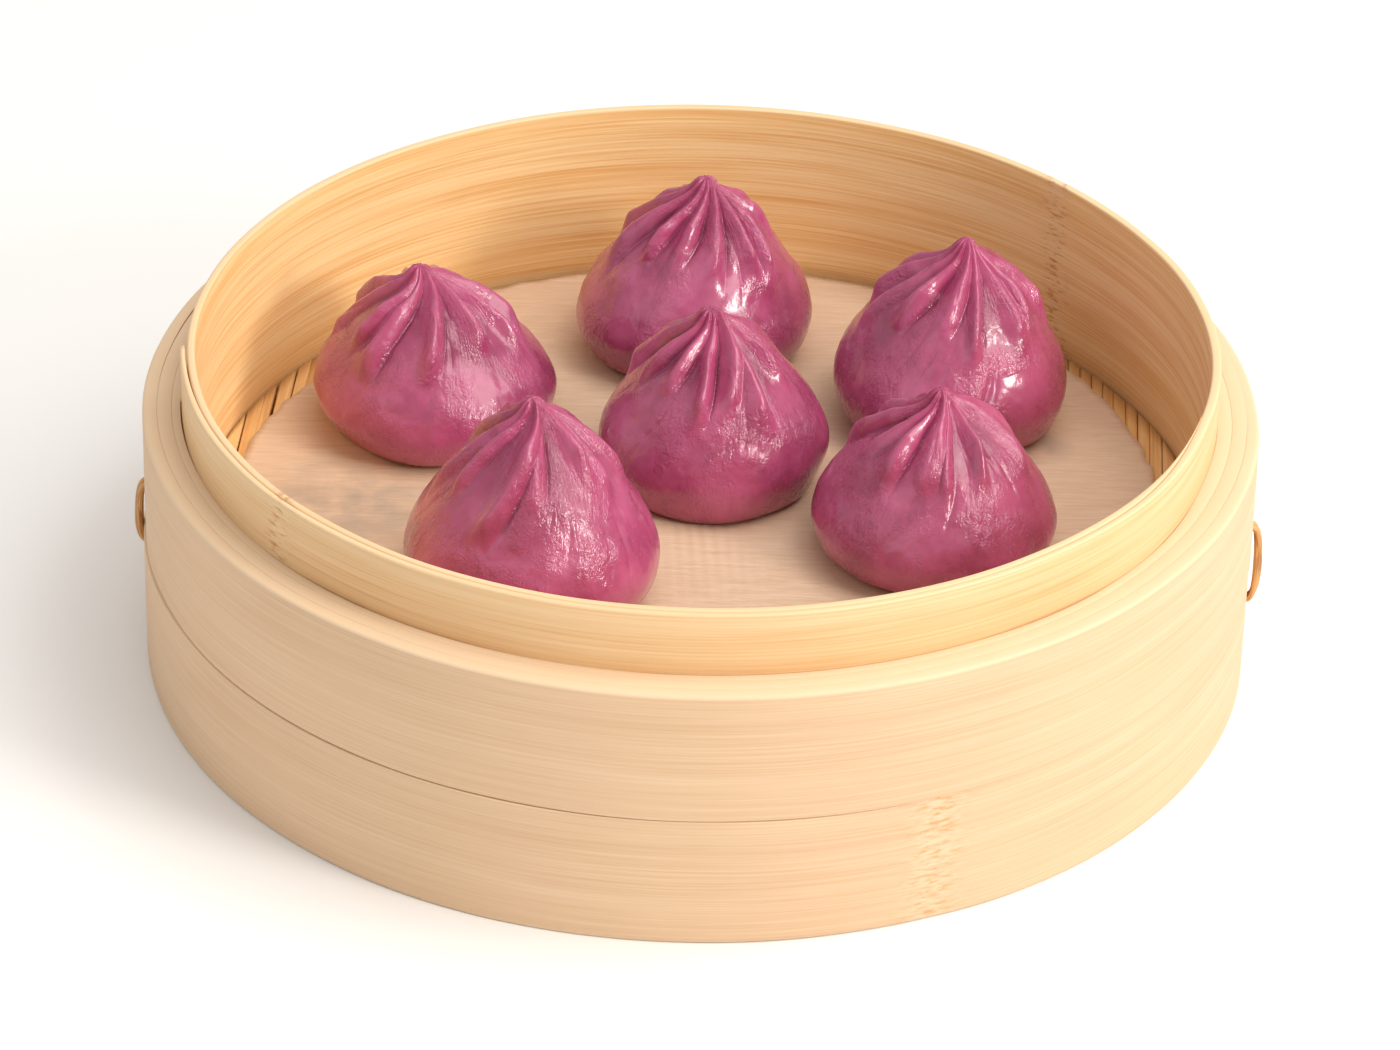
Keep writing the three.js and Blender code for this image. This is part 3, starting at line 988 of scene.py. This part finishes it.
@dataclass
class CaneTie:
    """A stitch of split cane: two crossing strands out of the band and back into it."""

    node: str
    strand_width: float = 1.5
    strand_thickness: float = 1.3
    sink: float = 1.6
    steps: int = 46
    sides: int = 14

    def strand(self, number: int) -> Skin:
        """One strand: half of a flattened loop, with its width along the band.

        The loop's reach is a power of the cosine of the way round and its height is the sine, so that
        it leaves the band steeply and runs nearly straight down. The two strands change sides.

        Args:
            number: 0 for the outer strand and 1 for the inner one.

        Returns:
            The strand's closed skin.
        """
        solid = np.array([v.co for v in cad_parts[self.node].data.vertices]) / MM
        reach = float(np.hypot(solid[:, 0], solid[:, 1]).max())
        lowest, highest = solid[:, 2].min(), solid[:, 2].max()
        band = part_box("upper_band")[1].y / MM
        way = np.linspace(-math.pi / 2, math.pi / 2, self.steps)
        outside = reach - 0.6 * self.strand_thickness - band + self.sink - 0.35 * number
        radial = band - self.sink + outside * np.cos(way) ** 0.42
        middle = (lowest + highest) / 2
        half = (highest - lowest) / 2 - self.strand_thickness / 2
        height = middle - half * np.sin(way)
        sideways = (0.75 - 1.5 * number) * np.sin(way + 0.3) + 0.12 * np.sin(5 * way + number)
        path = np.stack([radial, sideways, height], -1)
        tangent = np.gradient(path, axis=0)
        tangent /= np.linalg.norm(tangent, axis=1, keepdims=True)
        wide = np.array([0.0, 1.0, 0.0]) - tangent * tangent[:, 1:2]
        wide /= np.linalg.norm(wide, axis=1, keepdims=True)
        deep = np.cross(wide, tangent)
        turn = np.linspace(0, math.tau, self.sides, endpoint=False)
        swell = 1 + 0.1 * np.sin(3.1 * way + 2 * number)
        across = self.strand_width / 2 * np.cos(turn) * swell[:, None]
        through = self.strand_thickness / 2 * np.sin(turn) * swell[:, None]
        points = path[:, None] + across[..., None] * wide[:, None] + through[..., None] * deep[:, None]
        azimuth = math.atan2(solid[:, 1].mean(), solid[:, 0].mean())
        spin = np.array([
            [math.cos(azimuth), math.sin(azimuth), 0],
            [-math.sin(azimuth), math.cos(azimuth), 0],
            [0, 0, 1],
        ])
        along = np.concatenate([[0], np.cumsum(np.linalg.norm(np.diff(path, axis=0), axis=1))]) * MM
        rounds = np.linspace(0, self.strand_width * 3 * MM, self.sides + 1)
        lengths = np.stack(np.broadcast_arrays(along[:, None], rounds[None, :]), -1)
        return carried(points @ spin, lengths)

    def build(self) -> bpy.types.Object:
        """Both strands as one piece.

        Returns:
            The tie's piece.
        """
        one, two = self.strand(0), self.strand(1)
        shifted = [[corner + len(one.points) for corner in face] for face in two.faces]
        both = Skin(
            np.vstack([one.points, two.points]), one.faces + shifted, np.vstack([one.corners, two.corners])
        )
        made = both.piece(self.node + "_cane", [self.node], Slot.CANE)
        made.data.materials.append(Cane().material())
        return made


# The dumplings


@dataclass
class Dumpling:
    """A soup dumpling: a lumpy, tucked-in belly whose dough is gathered into pleats under a small tip.

    Its outline is a curve through points given as shares of the belly's radius and of the height.
    Each pleat is a ridge along a line that winds up to the tip: across the line it rises as e to the
    minus square of the distance over the ridge's width, leaning over to one side, and a sharp crease
    runs along its steep side. No two pleats have the same place, length, height or width.
    """

    place: str
    tip_offset: float
    pleats: int
    turn: float
    winding: Winding
    seed: int
    foot: float = 0.76
    shoulder: float = 0.0
    across: int = 400
    rise: int = 220

    LOWER = ((0.0, 0.006), (0.45, 0.045), (0.8, 0.115), (1.0, 0.215))
    UPPER = (
        (0.975, 0.31), (0.91, 0.4), (0.838, 0.468), (0.765, 0.54), (0.69, 0.61), (0.61, 0.68),
        (0.51, 0.745), (0.4, 0.805), (0.28, 0.857), (0.185, 0.898), (0.128, 0.93), (0.096, 0.958),
        (0.07, 0.982), (0.035, 0.997), (0.0, 1.0),
    )

    def outline(self) -> tuple[Array, Array, Array, Array]:
        """Radius and height shares up the outline, evenly spaced but closer on the pleats.

        Returns:
            Radius share, height share, and the outward normal's two parts.
        """
        lower = [(self.foot + (1 - self.foot) * out, up) for out, up in self.LOWER]
        knots = np.array([(0.0, 0.0), (self.foot * 0.66, 0.0), *lower, *self.UPPER])
        fine = curve_through(knots, np.linspace(0, 1, 1500))
        spacing = np.linalg.norm(np.diff(fine, axis=0), axis=1) * (1 + 0.9 * smooth(0.4, 0.6, fine[1:, 1]))
        along = np.concatenate([[0], np.cumsum(spacing)])
        wanted = np.linspace(0, along[-1], self.rise)
        radius = np.interp(wanted, along, fine[:, 0])
        height = np.interp(wanted, along, fine[:, 1])
        radius = radius + self.shoulder * hump(0.86, 0.09, height)
        out, up = np.gradient(height), -np.gradient(radius)
        size = np.maximum(np.hypot(out, up), 1e-9)
        return np.maximum(radius, 0), height, out / size, up / size

    def relief(self, angle: Array, height: Array, reach: Array) -> Array:
        """How far the pleats stand out of the outline, in millimetres, less where they are hollow.

        Args:
            angle: the way round at each point, in radians.
            height: the height share at each point.
            reach: the distance from the axis at each point.

        Returns:
            The relief at each point; its mean round the dumpling is nil at every height.
        """
        draw = np.random.default_rng(self.seed)
        total = np.zeros_like(angle)
        pitch = math.tau / self.pleats
        side = self.winding.value
        for number in range(self.pleats):
            start, full = draw.uniform(0.42, 0.62), draw.uniform(0.14, 0.26)
            tall, wide = draw.uniform(1.5, 2.9), draw.uniform(1.3, 2.2)
            at = (number + draw.uniform(-0.3, 0.3)) * pitch
            sway, phase = draw.uniform(0.05, 0.12), draw.uniform(0, math.tau)
            line = at + sway * np.sin(5 * height + phase) + side * self.winds(height)
            width = np.minimum(wide * (1.9 - height), 0.42 * pitch * reach + 0.01)
            away = around(angle - line) * reach / width
            ridge = np.exp(-(away**2)) * (1 + 0.45 * side * np.tanh(away))
            steep = away - 1.25 * side
            crease = draw.uniform(0.3, 0.6) * np.exp(-np.abs(steep) / 0.3)
            grown = tall * smooth(start, start + full, height) * (1 - 0.5 * smooth(0.9, 1.0, height))
            total += np.minimum(grown, 0.26 * reach) * (ridge - crease)
        return total - total.mean(axis=0, keepdims=True)

    def winds(self, height: Array) -> Array:
        """How far the pleats have wound round: slowly up the belly, and once more near the tip.

        Args:
            height: the height share at each point.

        Returns:
            The turn at each point, in radians.
        """
        return math.radians(self.turn) * height**2 + 0.35 * smooth(0.82, 1.0, height)

    def wrinkles(self, angle: Array, height: Array, reach: Array) -> Array:
        """Fine creases along and between the pleats, a few tenths of a millimetre deep.

        Args:
            angle: the way round at each point, in radians.
            height: the height share at each point.
            reach: the distance from the axis at each point.

        Returns:
            How deep the creases are at each point, in millimetres.
        """
        draw = np.random.default_rng(self.seed + 50)
        sink = np.zeros_like(angle)
        for _ in range(3 * self.pleats):
            at, middle = draw.uniform(0, math.tau), draw.uniform(0.4, 0.85)
            deep, width = draw.uniform(0.08, 0.4), draw.uniform(0.3, 0.8)
            line = at + self.winding.value * self.winds(height) + 0.12 * np.sin(5 * height + at)
            away = around(angle - line) * reach / width
            sink += deep * np.exp(-np.abs(away)) * hump(middle, draw.uniform(0.06, 0.15), height)
        return np.minimum(sink, 0.12 * reach)

    def build(self) -> bpy.types.Object:
        """The dumpling inside the space that its CAD node holds, its foot on the cloth.

        Returns:
            The dumpling's piece, without its finish.
        """
        node = "dumpling_" + self.place
        low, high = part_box(node)
        centre = np.array([(low.x + high.x) / 2, (low.y + high.y) / 2]) / MM
        belly = ((high.x - low.x) + (high.y - low.y)) / 4 / MM
        foot = low.z / MM - 0.42
        tall = high.z / MM - foot
        radius, height, out, up = (row[None, :] for row in self.outline())
        angle = np.linspace(0, math.tau, self.across, endpoint=False)[:, None] + 0 * radius
        height = height + 0 * angle
        reach = belly * radius + 0 * angle
        place = np.stack([reach * np.cos(angle), reach * np.sin(angle), tall * height], -1)
        free = smooth(0.0, 0.06, height)
        off_axis = smooth(0, 2.5, reach)
        relief = self.relief(angle, height, reach)
        # hollow: where the relief sinks below the outline; the finish paints shade there.
        hollow = smooth(0.15, 1.5, -relief) * smooth(0.4, 0.6, height)
        wrinkles = self.wrinkles(angle, height, reach)
        lumps = 0.5 * Unevenness(self.seed + 1, 28).at(place) + 0.12 * Unevenness(self.seed + 2, 10).at(place)
        lumps = lumps * (1 - 0.5 * smooth(0.6, 0.85, height))
        lumps = lumps + 0.03 * Unevenness(self.seed + 3, 2.6, 40).at(place) * smooth(0.1, 0.3, height)
        push = (relief - wrinkles + lumps * off_axis) * free
        spread = 0.5 * Unevenness(self.seed + 4, 20).at(place) * off_axis * (1 - smooth(0.0, 0.3, height))
        bulged = reach + push * out + spread
        lifted = tall * height + push * up
        lean = height**2
        x = centre[0] + bulged * np.cos(angle) + self.tip_offset * lean
        y = centre[1] + bulged * np.sin(angle)
        points = np.stack([x, y, foot + np.clip(lifted, 0, tall)], -1)
        combed = angle - self.winding.value * self.winds(height)
        round_it = np.concatenate([combed, combed[:1] + math.tau]) * 14 * MM
        lengths = np.stack([round_it, np.concatenate([height, height[:1]]) * tall * MM], -1)
        skin = turned(points, lengths, {"hollow": hollow, "rise": height})
        return skin.piece(node + "_dough", [node], Slot.DOUGH)


# The studio


@dataclass
class Studio:
    """A pale floor, soft light from the right and above, and the camera."""

    aim: tuple[float, float, float] = (0.0001, 0.0, 0.0233)
    distance: float = 1.105
    elevation: float = 31.1
    roll: float = 1.28
    lens: float = 149.2
    floor_colour: str = "#f4f2ef"

    def camera(self) -> None:
        """Points the camera at the aim from the front, turned a little about its own axis."""
        data = bpy.data.cameras.new("camera")
        data.lens = self.lens
        data.sensor_width = 36.0
        made = bpy.data.objects.new("camera", data)
        bpy.context.scene.collection.objects.link(made)
        up = math.radians(self.elevation)
        back = np.array([0.0, -math.cos(up), math.sin(up)])
        made.location = np.array(self.aim) + back * self.distance
        made.rotation_mode = "XYZ"
        turn = Matrix.Rotation(math.radians(self.roll), 3, "Z")
        facing = Vector(-back).to_track_quat("-Z", "Y").to_matrix()
        made.rotation_euler = (facing @ turn).to_euler("XYZ")
        bpy.context.scene.camera = made

    def lamp(
        self, name: str, place: tuple[float, float, float], size: float, power: float, colour: str
    ) -> None:
        """A square soft light that faces the food.

        Args:
            name: the lamp's name.
            place: where it is, in metres.
            size: the length of its side, in metres.
            power: its power in watts.
            colour: its sRGB colour.
        """
        data = bpy.data.lights.new(name, "AREA")
        data.shape = "SQUARE"
        data.size = size
        data.energy = power
        data.color = linear(colour)[:3]
        made = bpy.data.objects.new(name, data)
        bpy.context.scene.collection.objects.link(made)
        made.location = place
        toward = Vector((0, 0, 0.03)) - Vector(place)
        made.rotation_euler = toward.to_track_quat("-Z", "Y").to_euler("XYZ")

    def build(self) -> None:
        """Sets up floor, lights, surroundings and camera."""
        mesh = bpy.data.meshes.new("floor")
        wide = 4.0
        corners = [(-wide, -wide, 0), (wide, -wide, 0), (wide, wide, 0), (-wide, wide, 0)]
        mesh.from_pydata(corners, [], [(0, 1, 2, 3)])
        floor = bpy.data.objects.new("floor", mesh)
        bpy.context.scene.collection.objects.link(floor)
        s = Shader("pale_floor")
        surface = s.add("BsdfPrincipled", {"Base Color": linear(self.floor_colour), "Roughness": 0.9})
        mesh.materials.append(s.finish(surface))
        self.lamp("key", (0.95, -0.6, 0.6), 0.3, 7.5, "#fff8f0")
        self.lamp("high", (0.7, -0.2, 1.1), 0.9, 9.0, "#fff8f0")
        self.lamp("top", (0.15, 0.1, 1.3), 0.9, 4.0, "#ffffff")
        self.lamp("fill", (-0.9, -0.8, 0.9), 1.0, 1.4, "#ffffff")
        world = bpy.data.worlds.new("surroundings")
        world.use_nodes = True
        world.node_tree.nodes["Background"].inputs["Color"].default_value = (1, 1, 1, 1)
        world.node_tree.nodes["Background"].inputs["Strength"].default_value = 0.57
        bpy.context.scene.world = world
        bpy.context.scene.view_settings.view_transform = "Standard"
        self.camera()


DUMPLINGS = [
    Dumpling("back", 2.3, 12, 24, Winding.ANTICLOCKWISE, 101),
    Dumpling("left", -2.8, 11, 30, Winding.ANTICLOCKWISE, 202, shoulder=0.03),
    Dumpling("right", 2.1, 12, 22, Winding.ANTICLOCKWISE, 303, foot=0.74),
    Dumpling("front_left", 0.0, 11, 28, Winding.ANTICLOCKWISE, 404, shoulder=0.03),
    Dumpling("middle", -1.1, 12, 24, Winding.ANTICLOCKWISE, 505, foot=0.8),
    Dumpling("front_right", 0.5, 12, 26, Winding.ANTICLOCKWISE, 606),
]


def main() -> None:
    """Builds the steamer, its floor, the cloth, the dumplings and the studio, in that order."""
    logging.basicConfig(level=logging.INFO, format="%(name)s: %(message)s")
    Band("upper_band", BAND_BAMBOO, wall=8.3, open_gap=0.35, pocket=1.1, closer=(0.1, 0.0)).build()
    Band(
        "lower_band", BAND_BAMBOO, (-0.5, 0.0), 6.4, lap_at=100.0, worn=0.0, knots=(-65.5,), knot_width=4.5,
        seed=8, top_edge=0.2, foot_edge=0.6, closer=(0.0, 0.1),
    ).build()
    InnerRing(RING_BAMBOO).build()
    floor = Floor()
    floor.hoop()
    floor.cross_bars()
    floor.slats()
    Liner().build()
    CaneTie("tie_left").build()
    CaneTie("tie_right").build()
    dough = Dough().material()
    for dumpling in DUMPLINGS:
        dumpling.build().data.materials.append(dough)
    Studio().build()


if __name__ == "__main__":
    main()
